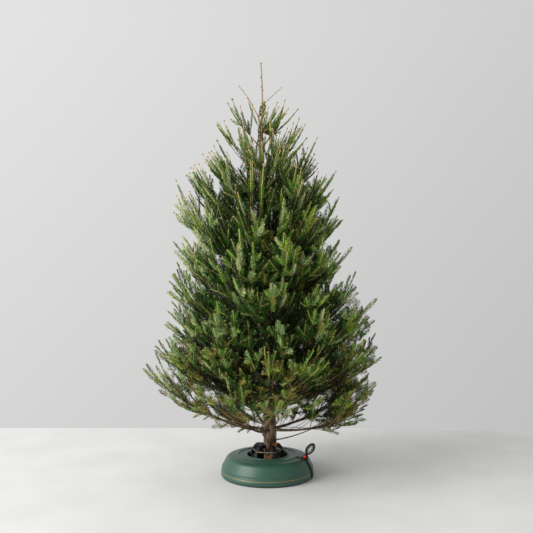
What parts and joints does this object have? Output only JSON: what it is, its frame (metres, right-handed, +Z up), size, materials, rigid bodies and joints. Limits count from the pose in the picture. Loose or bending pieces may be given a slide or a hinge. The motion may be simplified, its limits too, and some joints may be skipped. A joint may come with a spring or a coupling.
{
  "type": "christmas tree",
  "caption": "Cut fir tree with upswept boughs and a bare leader, held by claws in a round foot-lever stand with a water well.",
  "frame": {"origin": "centre of the flat underside of the stand's foot plate", "axes": "+Z up along the trunk, +X to the right with the foot lever on that side, -Y to the front"},
  "size_m": [1.1434, 1.0986, 2.034],
  "materials": {
    "bark": "rough grey-brown bark",
    "twig_bark": "smooth tan bark",
    "needles": "waxy dark green needles, some blue-green",
    "green_plastic": "satin dark green plastic with a thin gold line",
    "black_plastic": "matt black plastic",
    "steel_cable": "twisted steel cable",
    "red_plastic": "red plastic"
  },
  "bodies": {
    "tree_and_stand": {"stand_foot": "black_plastic", "stand_shell": "green_plastic", "water_well": "green_plastic", "clamp_cable": "steel_cable", "claw_1": "black_plastic", "claw_2": "black_plastic", "claw_3": "black_plastic", "claw_4": "black_plastic", "claw_5": "black_plastic", "pedal_rail": "black_plastic", "pedal_pin": "red_plastic", "trunk": "bark", "twig_low_left": "twig_bark", "twig_low_right": "twig_bark", "twig_top_left": "twig_bark", "twig_top_right": "twig_bark", "bough_1": "bark", "bough_2": "bark", "bough_3": "bark", "bough_4": "bark", "bough_5": "bark", "foliage_1_1": "needles", "foliage_1_2": "needles", "foliage_1_3": "needles", "foliage_1_4": "needles", "foliage_1_5": "needles", "foliage_2_1": "needles", "foliage_2_2": "needles", "foliage_2_3": "needles", "foliage_2_4": "needles", "foliage_3_1": "needles", "foliage_3_2": "needles", "foliage_3_3": "needles", "foliage_3_4": "needles", "foliage_4_1": "needles", "foliage_4_2": "needles", "foliage_4_3": "needles", "foliage_4_4": "needles", "foliage_5_1": "needles", "foliage_5_2": "needles", "foliage_5_3": "needles", "foliage_5_4": "needles", "foliage_6_1": "needles", "foliage_6_2": "needles", "foliage_6_3": "needles", "foliage_6_4": "needles", "foliage_7_1": "needles", "foliage_7_2": "needles", "foliage_7_3": "needles", "foliage_7_4": "needles", "foliage_8_1": "needles", "foliage_8_2": "needles", "foliage_8_3": "needles", "foliage_9_1": "needles", "foliage_9_2": "needles", "foliage_9_3": "needles", "foliage_10_1": "needles", "foliage_10_2": "needles", "foliage_10_3": "needles"},
    "foot_lever": {"pedal": "black_plastic"}
  },
  "joints": [
    {"name": "foot_lever_hinge", "type": "hinge", "parent": "tree_and_stand", "child": "foot_lever", "pos_m": [0.18298, -0.07024, 0.11], "axis": [0.3584, 0.9336, 0], "range_deg": [0, 50], "stiffness_Nm_per_rad": 0.1, "springref_deg": -28.65}
  ]
}
